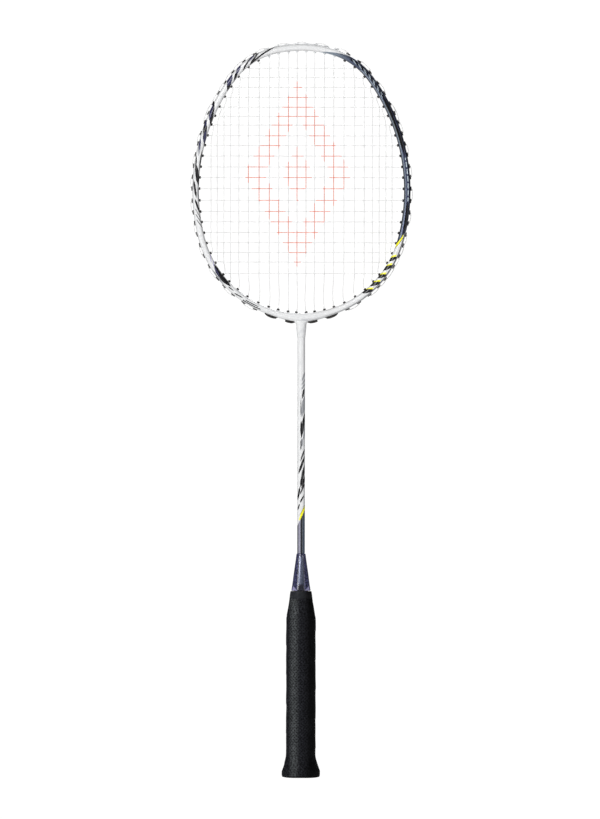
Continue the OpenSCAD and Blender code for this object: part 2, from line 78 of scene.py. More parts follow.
BARREL_PROUD = 1.3
FLANGE_T = 0.9
STRING_D = 0.7
STRING_R = STRING_D / 2
WEAVE = STRING_R + 0.03
INNER_BEND = BARREL_PROUD + 0.4
LOOP_RISE = FLANGE_T + STRING_R + 0.11
THROAT_LEAN = 0.25
MAIN_X = [4.1, 12, 20.9, 29.5, 38.9, 48.7, 57.5, 65.1, 71.2, 77.3, 83]
ROW_Z = [651, 642.4, 633.4, 624.2, 615.2, 606.8, 598.8, 589, 580, 570.4, 560.4,
         550.7, 540.5, 529.8, 519.6, 510.1, 500.3, 491, 481.9, 473.2, 462.7]
N_COLS = 2 * len(MAIN_X)
HALF_COLS = len(MAIN_X)
N_ROWS = len(ROW_Z)


def unit(v):
    v = np.asarray(v, float)
    return v / np.linalg.norm(v)


def sin_d(angle):
    return math.sin(math.radians(angle))


def cos_d(angle):
    return math.cos(math.radians(angle))


def smooth(t):
    """0 below 0, 1 above 1 and an even curve between."""
    t = min(max(t, 0.0), 1.0)
    return t * t * (3 - 2 * t)


# ---- the head's shape ----

def inner_half(phi):
    """Half the section's width in the string plane, on the inside, at a normal's angle."""
    return (FRAME_WIDTH + CROWN_EXTRA * max(0, cos_d(phi)) ** 4) / 2


def outer_half(phi):
    """The same on the outside, where the section widens into the neck."""
    return inner_half(phi) + THROAT_EXTRA * max(0, -cos_d(phi)) ** GUSSET_POWER


def build_arcs():
    """[end angle, radius, centre x, centre z] of the arcs, from the crown to the throat."""
    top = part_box("main_string")[1].z / MM - LOOP_RISE - STRING_R - outer_half(0)
    arcs = [[ARC_ENDS[0], ARC_RADII[0], 0.0, top - ARC_RADII[0]]]
    for end, radius in zip(ARC_ENDS[1:], ARC_RADII[1:] + [None]):
        from_end, from_radius, x, z = arcs[-1]
        if radius is None:
            # the throat arc closes the outline on the centre line
            radius = from_radius + x / sin_d(from_end)
        shift = from_radius - radius
        arcs.append([end, radius, x + shift * sin_d(from_end), z + shift * cos_d(from_end)])
    return arcs


ARCS = build_arcs()


def folded(phi):
    return 360 - phi if phi > 180 else phi


def turn(phi):
    return -1 if phi > 180 else 1


def arc_at(phi):
    return next(a for a in ARCS if phi <= a[0] + 0.001)


def head_point(phi, off, side=0.0, y=0.0):
    """A point off outwards from the centreline, slid side along the frame, at depth y."""
    _, radius, x, z = arc_at(folded(phi))
    return np.array([turn(phi) * x + (radius + off) * sin_d(phi) + side * cos_d(phi), y,
                     z + (radius + off) * cos_d(phi) - side * sin_d(phi)])


def along(phi):
    """Distance along the centreline from the crown to a normal's angle, on either side."""
    total, start = 0.0, 0.0
    for end, radius, _, _ in ARCS:
        total += radius * math.radians(min(max(folded(phi), start), end) - start)
        start = end
    return total


# ---- where the strings cross the frame ----

def bend_radius(arc, phi):
    return arc[1] - inner_half(phi) - INNER_BEND


def arc_spans():
    starts = [0] + ARC_ENDS[:-1]
    return [(start, arc) for start, arc in zip(starts, ARCS)]


def hole_for_x(x, upper):
    """Angle of the hole through which a main at x leaves the head."""
    for start, arc in arc_spans():
        guess = (start + arc[0]) / 2
        for _ in range(2):
            s = (x - arc[2]) / bend_radius(arc, guess)
            h = math.degrees(math.asin(min(1, s)))
            guess = h if upper else 180 - h
        if s <= 1 and start <= guess <= arc[0]:
            return guess
    raise ValueError(f"no hole at x = {x}")


def hole_for_z(z):
    """Angle of the hole through which a cross at z leaves the head."""
    for start, arc in arc_spans():
        c = (z - arc[3]) / bend_radius(arc, 90)
        phi = math.degrees(math.acos(max(-1, min(1, c))))
        if abs(c) <= 1 and start <= phi <= arc[0]:
            return phi
    raise ValueError(f"no hole at z = {z}")


# Outer mains share a hole with a cross, at the cross's height
TOP_PARTNER = {5: 0, 6: 1, 7: 2, 8: 3, 9: 4, 10: 6}
LOW_PARTNER = {8: 20, 9: 19, 10: 18}


def main_hole(i, upper):
    row = (TOP_PARTNER if upper else LOW_PARTNER).get(i)
    if row is not None:
        return hole_for_z(ROW_Z[row])
    shift = 0 if upper or i else THROAT_LEAN * (inner_half(180) + INNER_BEND)
    return hole_for_x(MAIN_X[i] + shift, upper)


TOP_HOLES = [main_hole(i, True) for i in range(HALF_COLS)]
LOW_HOLES = [main_hole(i, False) for i in range(HALF_COLS)]
ROW_HOLES = [hole_for_z(z) for z in ROW_Z]


def hole_point(phi, off, side, y):
    if abs(folded(phi) - LOW_HOLES[0]) < 0.01:
        side -= turn(phi) * THROAT_LEAN * off
    return head_point(phi, off, side, y)


def outside(phi, d, side=0.0, y=0.0):
    return hole_point(phi, outer_half(phi) + d, side, y)


def inside(phi, d, side=0.0, y=0.0):
    return hole_point(phi, -inner_half(phi) - d, side, y)


# ---- meshes ----

def add_piece(name, points, faces, material, replaces=(), smooth_shaded=True):
    """A mesh piece of the racket from points in millimetres."""
    mesh = bpy.data.meshes.new(name)
    mesh.from_pydata([tuple(np.asarray(p, float) * MM) for p in points], [], faces)
    if smooth_shaded:
        mesh.shade_smooth()
    mesh.materials.append(material)
    piece = bpy.data.objects.new(name, mesh)
    bpy.context.scene.collection.objects.link(piece)
    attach(piece, BODY)
    if replaces:
        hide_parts(*replaces)
    return piece


def add_number(piece, name, values):
    """A number at each point of a piece, for its material."""
    attribute = piece.data.attributes.new(name, "FLOAT", "POINT")
    attribute.data.foreach_set("value", np.asarray(values, np.float32))


def ring_faces(rings, sides, closed=False, capped=True):
    """Faces between rings of points whose normals face outwards for rings that go round
    anticlockwise seen from the far end."""
    faces = []
    for i in range(rings if closed else rings - 1):
        a, b = i * sides, (i + 1) % rings * sides
        for k in range(sides):
            n = (k + 1) % sides
            faces.append((a + k, a + n, b + n, b + k))
    if capped and not closed:
        faces.append(tuple(range(sides - 1, -1, -1)))
        faces.append(tuple((rings - 1) * sides + k for k in range(sides)))
    return faces


def superellipse(sides, power):
    """Points round a superellipse with half axes of 1."""
    angles = [2 * math.pi * (k + 0.5) / sides for k in range(sides)]
    return [(math.copysign(abs(math.cos(a)) ** (2 / power), math.cos(a)),
             math.copysign(abs(math.sin(a)) ** (2 / power), math.sin(a))) for a in angles]


def tube(path, radius, sides):
    """Points and faces of a round tube along a path that stays near the string plane."""
    path = np.asarray(path, float)
    steps = np.diff(path, axis=0)
    steps /= np.linalg.norm(steps, axis=1)[:, None]
    heading = np.vstack([steps[:1], steps[:-1] + steps[1:], steps[-1:]])
    heading /= np.linalg.norm(heading, axis=1)[:, None]
    across = np.cross(heading, [0.0, 1.0, 0.0])
    across /= np.linalg.norm(across, axis=1)[:, None]
    up = np.cross(across, heading)
    points = []
    for k in range(sides):
        a = 2 * math.pi * k / sides
        points.append(path + radius * (math.cos(a) * across - math.sin(a) * up))
    points = np.stack(points, axis=1).reshape(-1, 3)
    return points, ring_faces(len(path), sides)


def eased(path, step):
    """The path with a smooth curve through its points, cut about every step."""
    path = [np.asarray(p, float) for p in path]
    legs = [b - a for a, b in zip(path, path[1:])]
    lengths = [np.linalg.norm(leg) for leg in legs]
    headings = [legs[0] / lengths[0]]
    for i in range(1, len(legs)):
        headings.append(unit(legs[i - 1] / lengths[i - 1] + legs[i] / lengths[i]))
    headings.append(legs[-1] / lengths[-1])
    found = []
    for i, length in enumerate(lengths):
        cuts = max(2, round(length / step))
        for t in np.arange(cuts) / cuts:
            found.append((2 * t**3 - 3 * t**2 + 1) * path[i]
                         + (t**3 - 2 * t**2 + t) * length * headings[i]
                         + (3 * t**2 - 2 * t**3) * path[i + 1]
                         + (t**3 - t**2) * length * headings[i + 1])
    return found + [path[-1]]


# ---- materials ----

# How much of a blade is at its full width: 1 is a lozenge, and more is blunter
BLUNTNESS = 1.8


class Paint:
    """A material whose nodes are added one by one. A value is a number, a colour or a socket."""

    def __init__(self, name, **constants):
        self.material = bpy.data.materials.new(name)
        self.material.use_nodes = True
        self.nodes = self.material.node_tree.nodes
        self.links = self.material.node_tree.links
        self.shader = self.nodes["Principled BSDF"]
        for socket, value in constants.items():
            self.set(socket.replace("_", " "), value)

    def put(self, value, socket):
        if isinstance(value, bpy.types.NodeSocket):
            self.links.new(value, socket)
        elif isinstance(value, tuple) and len(value) == 3 and socket.type == "RGBA":
            socket.default_value = (*value, 1)
        else:
            socket.default_value = value

    def set(self, socket, value):
        self.put(value, self.shader.inputs[socket])

    def math(self, operation, *values, clamp=False):
        node = self.nodes.new("ShaderNodeMath")
        node.operation = operation
        node.use_clamp = clamp
        for value, socket in zip(values, node.inputs):
            self.put(value, socket)
        return node.outputs[0]

    def union(self, masks):
        found = masks[0]
        for mask in masks[1:]:
            found = self.math("MAXIMUM", found, mask)
        return found

    def both(self, *masks):
        found = masks[0]
        for mask in masks[1:]:
            found = self.math("MULTIPLY", found, mask)
        return found

    def mix(self, factor, low, high):
        node = self.nodes.new("ShaderNodeMix")
        node.data_type = "RGBA"
        # a colour mix keeps its factor, A and B in these sockets
        for value, socket in zip((factor, low, high), (0, 6, 7)):
            self.put(value, node.inputs[socket])
        return node.outputs[2]

    def number(self, name):
        node = self.nodes.new("ShaderNodeAttribute")
        node.attribute_name = name
        return node.outputs["Fac"]

    def place(self):
        """The point in millimetres, as a vector and as x, y and z."""
        coordinates = self.nodes.new("ShaderNodeTexCoord")
        scale = self.nodes.new("ShaderNodeVectorMath")
        scale.operation = "SCALE"
        scale.inputs["Scale"].default_value = 1 / MM
        self.links.new(coordinates.outputs["Object"], scale.inputs[0])
        split = self.nodes.new("ShaderNodeSeparateXYZ")
        self.links.new(scale.outputs[0], split.inputs[0])
        return scale.outputs[0], split.outputs[0], split.outputs[1], split.outputs[2]

    def vector(self, x, y, z=0.0):
        node = self.nodes.new("ShaderNodeCombineXYZ")
        for value, socket in zip((x, y, z), node.inputs):
            self.put(value, socket)
        return node.outputs[0]

    def noise(self, vector, scale, detail=2.0):
        node = self.nodes.new("ShaderNodeTexNoise")
        self.links.new(vector, node.inputs["Vector"])
        node.inputs["Scale"].default_value = scale
        node.inputs["Detail"].default_value = detail
        return node.outputs["Fac"]

    def spread(self, value, low, high, to_low=0.0, to_high=1.0):
        """value from low..high onto to_low..to_high, clamped."""
        node = self.nodes.new("ShaderNodeMapRange")
        for v, socket in zip((value, low, high, to_low, to_high), node.inputs):
            self.put(v, socket)
        return node.outputs[0]

    def within(self, value, low, high):
        return self.math("COMPARE", value, (low + high) / 2, (high - low) / 2)

    def shard(self, s, v, start, end, half, peak=0.5):
        """Mask of a blade from start to end, each (s, v), half wide on either side round peak
        and tapering to a point at both ends."""
        length = end[0] - start[0]
        t = self.math("MULTIPLY_ADD", s, 1 / length, -start[0] / length)
        centre = self.math("MULTIPLY_ADD", t, end[1] - start[1], start[1])
        rise_rate, fall_rate = BLUNTNESS * half / peak, BLUNTNESS * half / (1 - peak)
        rise = self.math("MULTIPLY", t, rise_rate)
        fall = self.math("MULTIPLY_ADD", t, -fall_rate, fall_rate)
        narrow = self.math("MINIMUM", rise, fall)
        return self.math("COMPARE", v, centre, self.math("MINIMUM", narrow, half))

    def shards(self, s, v, blades):
        """Mask of several blades."""
        return self.union([self.shard(s, v, *blade) for blade in blades])

    def stroke(self, s, v, start, end, half):
        """Mask of a straight band from start to end, each (s, v), with square ends."""
        length = end[0] - start[0]
        t = self.math("MULTIPLY_ADD", s, 1 / length, -start[0] / length)
        centre = self.math("MULTIPLY_ADD", t, end[1] - start[1], start[1])
        inside_ends = self.math("COMPARE", t, 0.5, 0.5)
        return self.both(self.math("COMPARE", v, centre, half), inside_ends)

    def bump(self, height, strength, distance=1.0):
        """distance is the height in millimetres of a height value of 1."""
        node = self.nodes.new("ShaderNodeBump")
        node.inputs["Strength"].default_value = strength
        node.inputs["Distance"].default_value = distance * MM
        self.links.new(height, node.inputs["Height"])
        self.links.new(node.outputs[0], self.shader.inputs["Normal"])


WHITE = (0.74, 0.745, 0.75)
SHADE = (0.52, 0.53, 0.55)
BLACK = (0.006, 0.006, 0.008)
GREY = (0.30, 0.31, 0.33)
LAVENDER = (0.42, 0.40, 0.62)
NAVY = (0.045, 0.052, 0.105)
DEEP_NAVY = (0.014, 0.016, 0.032)
INK_VIOLET = (0.060, 0.058, 0.145)
STEEL_BLUE = (0.10, 0.135, 0.20)
SLATE = (0.048, 0.056, 0.072)
PAINTED_HIGHLIGHT_VIOLET = (0.36, 0.35, 0.44)
PALE_BLUE = (0.46, 0.54, 0.60)
NEON_YELLOW = (0.90, 0.86, 0.02)
ORANGE_RED = (0.74, 0.11, 0.035)

# Blades painted on the left of the head: (start, end, half width, place of the widest point),
# where a point is (distance from the crown, offset outwards from the centreline)
LEFT_BLACK = [
    ((22, 3.4), (53, -3.2), 0.8, 0.5), ((38, 3.4), (53, -3.2), 1.0, 0.5),
    ((46, 3.0), (62, -3.1), 0.8, 0.5), ((57.5, 3.2), (75, -3.1), 1.2, 0.4),
    ((69, 3.3), (85, -2.8), 2.0, 0.45), ((98, 3.2), (122, -3.2), 1.6, 0.5),
    ((115.5, 3.3), (141, -3.3), 1.7, 0.5), ((144, -1.9), (164, -2.5), 0.6, 0.5),
    ((149.5, 2.1), (164.5, 1), 0.6, 0.5), ((157.5, 1.3), (179, -3.1), 1.7, 0.5),
    ((172, 2.1), (189.5, -0.7), 1.0, 0.5), ((189.5, 0.9), (204.5, -3.1), 0.9, 0.4),
    ((253, -1.5), (279.5, -1), 2.6, 0.5), ((277, 0.7), (284.5, -0.1), 0.45, 0.5),
    ((285, 1.3), (295, -0.1), 0.5, 0.5)]
LEFT_LINES = [
    ((199, 1), (208.5, -3), 0.32), ((204, 1.1), (213, -3), 0.32), ((209, 1), (217.5, -3), 0.32),
    ((295.6, 1.6), (313.7, 1.4), 0.45), ((297.7, 0.2), (310.9, 0), 0.4)]
LEFT_GREY = [
    ((134, 1.9), (151, 0.3), 1.1, 0.5), ((178, -2), (195, -2.7), 0.6, 0.5),
    ((278, -2.7), (303, -2), 0.35, 0.5), ((256, 2.2), (274, 2.4), 0.8, 0.5)]
LEFT_LAVENDER = [((243, -3), (250.5, 0), 0.4, 0.5), ((249, -3.2), (255.5, 0), 0.4, 0.5)]
LEFT_VIOLET = [
    ((43, 3.1), (51, 0.4), 0.8, 0.4), ((58, 3.0), (67, -0.2), 1.4, 0.45),
    ((69, 3.1), (81, -0.4), 2.1, 0.45), ((101, 3.0), (116, 0.3), 1.2, 0.6),
    ((115.5, 3.3), (124, 1.2), 1.0, 0.5), ((126, -0.4), (139, -2.4), 1.3, 0.5),
    ((135, 2.2), (146, 0.6), 0.9, 0.5), ((255, -0.6), (266, 0.5), 0.8, 0.5)]

# Blades on the navy of the right side, in the same form
RIGHT_BLACK = [
    ((88, 0.6), (128, -1), 1.5, 0.6), ((108, -1), (152, 0.7), 1.5, 0.4),
    ((190, 0.4), (226, 0.9), 1.1, 0.4)]

# Generic blades on the right of the throat: starts along the head and their lengths
THROAT_BLADES = [(243.5, 8), (252, 10), (262, 9), (270.5, 11), (280, 12)]

# The navy of the right side begins as a wedge at this distance from the crown, this long and
# this wide on each side of the centreline
WEDGE_START, WEDGE_LENGTH, WEDGE_HALF = 14, 36, 3.3
# It ends in a slanted yellow stripe with a dark rim on both sides
STRIPE = (225.6, 229.6)
STRIPE_LEAN = 2.54
STRIPE_RIM = 1.0


def painted_head():
    """Navy, white, black and yellow lacquer over carbon, with a glassy clear coat."""
    p = Paint("head_lacquer", Coat_Weight=0.25, Coat_Roughness=0.2, IOR=1.5, Specular_IOR_Level=0.3)
    point, x, _, _ = p.place()
    s, v = p.number("along"), p.number("offset")
    right = p.math("GREATER_THAN", x, 0.0)
    left = p.math("SUBTRACT", 1.0, right)
    grain = p.noise(point, 1.6, 3)
    cloud = p.noise(point, 0.22, 3)

    faint = p.noise(p.vector(p.math("MULTIPLY", s, 0.35), v), 1.1, 2)
    white = p.mix(p.spread(faint, 0.5, 0.72, 0.0, 0.5), WHITE, SHADE)
    # painted shade: the white greys towards the edge that is on the right seen from the front, the
    # outer edge on the right side and the inner edge on the left
    towards_shaded_edge = p.math("MULTIPLY", v, p.math("MULTIPLY_ADD", right, 2.0, -1.0))
    white = p.mix(p.spread(towards_shaded_edge, 1.2, 3.2, 0.0, 0.5), white, SHADE)

    grey = p.both(left, p.shards(s, v, LEFT_GREY))
    lavender = p.both(left, p.shards(s, v, LEFT_LAVENDER))
    black = p.union([p.shard(s, v, *blade) for blade in LEFT_BLACK]
                    + [p.stroke(s, v, *line) for line in LEFT_LINES])
    colour = p.mix(grey, white, GREY)
    colour = p.mix(lavender, colour, LAVENDER)
    colour = p.mix(p.both(left, black), colour, BLACK)
    violet = p.both(left, p.shards(s, v, LEFT_VIOLET))
    colour = p.mix(violet, colour, p.mix(p.spread(grain, 0.4, 0.6), DEEP_NAVY, INK_VIOLET))

    # the navy starts as a wedge on the inner edge and ends in a yellow stripe
    slope = 2 * WEDGE_HALF / WEDGE_LENGTH
    wedge_edge = p.math("MULTIPLY_ADD", s, slope, -WEDGE_HALF - WEDGE_START * slope)
    begun = p.math("LESS_THAN", v, wedge_edge)
    stripe_at = p.math("MULTIPLY_ADD", v, STRIPE_LEAN, s)
    rim_start, rim_end = STRIPE[0] - STRIPE_RIM, STRIPE[1] + STRIPE_RIM
    navy_zone = p.both(right, begun, p.math("LESS_THAN", stripe_at, rim_start))
    yellow_zone = p.both(right, p.within(stripe_at, *STRIPE), p.math("LESS_THAN", v, 1.3))
    rim_zone = p.both(right, p.union([p.within(stripe_at, rim_start, STRIPE[0]),
                                      p.within(stripe_at, STRIPE[1], rim_end)]))
    metal = p.mix(p.spread(v, -3.0, -0.8), STEEL_BLUE, NAVY)
    metal = p.mix(p.spread(v, 0.8, 3.0), metal, DEEP_NAVY)
    metal = p.mix(p.spread(s, 50.0, 16.0, 0.0, 0.75), metal, PALE_BLUE)
    metal = p.mix(p.spread(cloud, 0.45, 0.75, 0.0, 0.4), metal, STEEL_BLUE)
    bars = p.math("FRACT", p.math("MULTIPLY", p.math("MULTIPLY_ADD", v, 2.2, s), 1 / 6.6))
    channel = p.both(p.within(s, 47.0, 93.0), p.within(v, -0.5, 1.2))
    metal = p.mix(channel, metal, PALE_BLUE)
    metal = p.mix(p.both(channel, p.math("LESS_THAN", bars, 0.58)), metal, BLACK)
    metal = p.mix(p.shards(s, v, RIGHT_BLACK), metal, BLACK)
    pinstripe = p.both(p.within(s, 152.0, 192.0), p.within(v, 0.2, 1.2),
                       p.math("LESS_THAN", p.math("FRACT", p.math("MULTIPLY", s, 1 / 6.5)), 0.72))
    metal = p.mix(pinstripe, metal, PALE_BLUE)
    # painted highlight: a pale streak along the inner side of the navy
    inner_gleam = p.both(p.within(v, -2.0, -1.1), p.within(s, 60.0, 226.0))
    metal = p.mix(p.math("MULTIPLY", inner_gleam, 0.45), metal, PALE_BLUE)
    inner_rim = p.both(p.math("LESS_THAN", v, -2.15), p.spread(s, 30.0, 55.0))
    metal = p.mix(p.math("MULTIPLY", inner_rim, 0.85), metal, DEEP_NAVY)
    colour = p.mix(navy_zone, colour, metal)
    colour = p.mix(rim_zone, colour, BLACK)
    colour = p.mix(yellow_zone, colour, NEON_YELLOW)

    # painted shade: a dark line near the outer edge on the right, standing in for the shaded edge of
    # a groove; it fades towards the throat
    outline = p.both(right, p.within(s, 219.0, 330.0), p.within(v, 1.7, 2.5))
    strength = p.spread(s, 262.0, 330.0, 0.95, 0.15)
    colour = p.mix(p.both(outline, strength), colour, DEEP_NAVY)
    dark = [p.shard(s, v, (at, 1.6), (at + length, -4.2), 1.9, 0.45) for at, length in THROAT_BLADES]
    bright = [p.shard(s, v, (at - 1.6, 0.9), (at + length - 3, -4.2), 1.2, 0.4)
              for at, length in THROAT_BLADES]
    colour = p.mix(p.both(right, p.union(bright)), colour, NEON_YELLOW)
    colour = p.mix(p.both(right, p.union(dark)), colour, BLACK)

    p.set("Base Color", colour)
    p.set("Metallic", p.math("MULTIPLY", navy_zone, 0.55))
    p.set("Roughness", p.spread(grain, 0.3, 0.7, 0.22, 0.36))
    p.bump(p.noise(point, 0.8, 2), 0.12, 0.06)
    return p.material


def painted_neck():
    """The white lacquer of the neck, with a faint grey cloud and painted shade greying its right
    side.
    """
    p = Paint("neck_lacquer", Coat_Weight=0.25, Coat_Roughness=0.2, IOR=1.5, Specular_IOR_Level=0.3)
    point, x, _, _ = p.place()
    cloud = p.noise(point, 0.35, 3)
    white = p.mix(p.spread(cloud, 0.5, 0.75, 0.0, 0.5), WHITE, SHADE)
    # painted shade: greyer towards the right side
    white = p.mix(p.spread(x, 1.5, 4.5, 0.0, 0.35), white, SHADE)
    p.set("Base Color", white)
    p.set("Roughness", p.spread(p.noise(point, 1.6, 3), 0.3, 0.7, 0.22, 0.36))
    p.bump(p.noise(point, 0.8, 2), 0.12, 0.06)
    return p.material


# Blades painted on the shaft: (start, end, half width, place of the widest point), where a
# point is (height, x)
SHAFT_BLACK = [
    ((358, 2.8), (347.5, 0.9), 0.8, 0.5), ((350, -0.3), (330.5, -0.4), 0.3, 0.6),
    ((336, 3.3), (311, -0.1), 1.1, 0.6), ((328, 0.0), (312.5, -0.1), 0.8, 0.4),
    ((311.5, -0.1), (299.5, -0.3), 0.5, 0.5), ((302, 3.3), (290, -0.8), 0.7, 0.5),
    ((296, 3.4), (278.5, -2.4), 1.1, 0.55), ((288, 3.2), (266, -0.6), 1.2, 0.6),
    ((277.5, 3.4), (263, 0.4), 0.9, 0.5), ((270, 3.4), (259.5, -1.4), 0.7, 0.5),
    ((268, -0.9), (254.5, -3.2), 0.8, 0.5), ((259.5, 2.6), (252, -1.1), 0.8, 0.5),
    ((251.8, -1.3), (245.5, -3.1), 0.6, 0.5)]
SHAFT_GREY = [
    ((372.5, 3.4), (363.5, 0.6), 0.8, 0.5), ((366, 3.4), (360, 0.5), 0.7, 0.5),
    ((362, 3.4), (356, 0.3), 0.8, 0.5), ((351, 3.5), (331, 0.5), 1.7, 0.5),
    ((334, 3.5), (316, 2.7), 1.3, 0.5), ((318.5, 3.4), (309.5, 2.0), 0.7, 0.5),
    ((312, 1.0), (303.5, 0.6), 1.0, 0.5)]


def painted_shaft():
    """White lacquer with dark blades, then a yellow stripe and navy metallic lower down; painted
    shade greys the white's right side and a painted highlight runs down the metallic.
    """
    p = Paint("shaft_paint", Coat_Weight=0.25, Coat_Roughness=0.2, IOR=1.5, Specular_IOR_Level=0.3)
    point, x, y, z = p.place()
    cloud = p.noise(p.vector(x, y, p.math("MULTIPLY", z, 0.3)), 0.6, 3)
    white = p.mix(p.spread(cloud, 0.5, 0.8, 0.0, 0.4), WHITE, SHADE)
    # painted shade: the white greys towards the right side
    white = p.mix(p.spread(x, 1.0, 3.4, 0.0, 0.4), white, SHADE)
    colour = p.mix(p.shards(z, x, SHAFT_GREY), white, GREY)
    colour = p.mix(p.shards(z, x, SHAFT_BLACK), colour, BLACK)
    level = p.math("MULTIPLY_ADD", x, -2.1, z)
    metal = p.mix(p.spread(x, 1.2, 3.2), SLATE, STEEL_BLUE)
    # painted highlight: a pale violet streak down the metallic, left of the middle
    metal = p.mix(p.spread(p.math("ABSOLUTE", p.math("ADD", x, 1.7)), 1.5, 0.3), metal, PAINTED_HIGHLIGHT_VIOLET)
    metal = p.mix(p.within(x, 0.1, 1.1), metal, BLACK)
    metal = p.mix(p.spread(p.noise(point, 2.5, 3), 0.5, 0.8, 0.0, 0.3), metal, STEEL_BLUE)
    navy_zone = p.math("LESS_THAN", level, 238.6)
    colour = p.mix(navy_zone, colour, metal)
    stripe_half = p.spread(x, -2.2, -0.8, 0.0, 2.1)
    colour = p.mix(p.math("COMPARE", level, 240.7, stripe_half), colour, NEON_YELLOW)
    rim = p.both(p.within(level, 242.8, 243.6), p.math("GREATER_THAN", x, -1.0))
    colour = p.mix(rim, colour, BLACK)
    p.set("Base Color", colour)
    p.set("Metallic", p.math("MULTIPLY", navy_zone, 0.3))
    p.set("Roughness", p.spread(p.noise(point, 1.6, 3), 0.3, 0.7, 0.2, 0.34))
    p.bump(p.noise(point, 0.9, 2), 0.1, 0.05)
    return p.material


def moulded(name, colour, worn, rough, depth=0.03):
    """Moulded nylon or rubber with a fine skin and paler rubbed patches."""
    p = Paint(name, IOR=1.5, Specular_IOR_Level=0.3)
    point = p.place()[0]
    patches = p.noise(point, 0.6, 4)
    p.set("Base Color", p.mix(p.spread(patches, 0.45, 0.75), colour, worn))
    p.set("Roughness", p.spread(patches, 0.3, 0.7, rough - 0.08, rough + 0.1))
    p.bump(p.noise(point, 6.0, 3), 0.4, depth)
    return p.material


def brushed_steel():
    p = Paint("staple_wire", Metallic=1.0)
    _, x, y, z = p.place()
    streaks = p.noise(p.vector(p.math("MULTIPLY", x, 0.4), y, z), 8.0, 3)
    p.set("Base Color", p.mix(streaks, (0.42, 0.43, 0.45), (0.66, 0.67, 0.69)))
    p.set("Roughness", p.spread(streaks, 0.3, 0.7, 0.25, 0.45))
    p.bump(streaks, 0.3, 0.02)
    return p.material


def turned_wood():
    """Pale handle wood with long grain."""
    p = Paint("handle_ash", IOR=1.5)
    point, x, y, z = p.place()
    wander = p.noise(point, 0.02, 2)
    rings = p.math("SINE", p.math("MULTIPLY", p.math("MULTIPLY_ADD", wander, 26.0, x), 2.1))
    fibres = p.noise(p.vector(x, y, p.math("MULTIPLY", z, 0.05)), 3.0, 4)
    tone = p.math("ADD", p.math("MULTIPLY", rings, 0.25), fibres)
    p.set("Base Color", p.mix(p.spread(tone, 0.2, 0.9), (0.62, 0.42, 0.22), (0.36, 0.21, 0.10)))
    p.set("Roughness", p.spread(fibres, 0.3, 0.7, 0.5, 0.7))
    p.bump(fibres, 0.4, 0.05)
    return p.material


def carbon():
    """Moulded carbon composite with a faint twill."""
    p = Paint("joint_carbon", Coat_Weight=0.4, Coat_Roughness=0.2, IOR=1.5)
    point, x, _, z = p.place()
    diagonal = p.math("SINE", p.math("MULTIPLY", p.math("ADD", x, z), 6.0))
    other = p.math("SINE", p.math("MULTIPLY", p.math("SUBTRACT", z, x), 6.0))
    twill = p.math("GREATER_THAN", p.math("MULTIPLY", diagonal, other), 0.0)
    p.set("Base Color", p.mix(twill, (0.012, 0.012, 0.014), (0.035, 0.035, 0.04)))
    p.set("Roughness", p.spread(p.noise(point, 2.0, 3), 0.3, 0.7, 0.3, 0.5))
    p.bump(twill, 0.2, 0.02)
    return p.material


# The red mark on the strings: a hollow lozenge with a small solid one in its middle. Its two
# last sizes are shares of the whole.
INK_CENTRE = (-3.5, 554.0)
INK_HALF = (50.0, 86.0)
INK_HOLLOW, INK_HEART = 0.62, 0.3


def inked_nylon():
    """White multifilament string with a red mark sprayed through a stencil."""
    p = Paint("string_nylon", Coat_Weight=0.3, Coat_Roughness=0.2, IOR=1.53)
    point, x, _, z = p.place()
    across = p.math("ABSOLUTE", p.math("SUBTRACT", x, INK_CENTRE[0]))
    rise = p.math("ABSOLUTE", p.math("SUBTRACT", z, INK_CENTRE[1]))
    reach = p.math("ADD", p.math("MULTIPLY", across, 1 / INK_HALF[0]),
                   p.math("MULTIPLY", rise, 1 / INK_HALF[1]))
    lozenge = p.within(reach, INK_HOLLOW, 1.0)
    heart = p.math("LESS_THAN", reach, INK_HEART)
    mark = p.union([lozenge, heart])
    worn = p.noise(point, 0.9, 3)
    ink = p.math("MULTIPLY", mark, p.spread(worn, 0.35, 0.6, 0.55, 1.0))
    fibre = p.noise(point, 5.0, 3)
    nylon = p.mix(fibre, (0.71, 0.71, 0.71), (0.81, 0.81, 0.80))
    p.set("Base Color", p.mix(ink, nylon, ORANGE_RED))
    p.set("Roughness", p.spread(fibre, 0.3, 0.7, 0.3, 0.5))
    p.bump(fibre, 0.3, 0.02)
    return p.material


# How many cells of the slanted grid of holes a millimetre takes
HOLE_RATE = 0.31


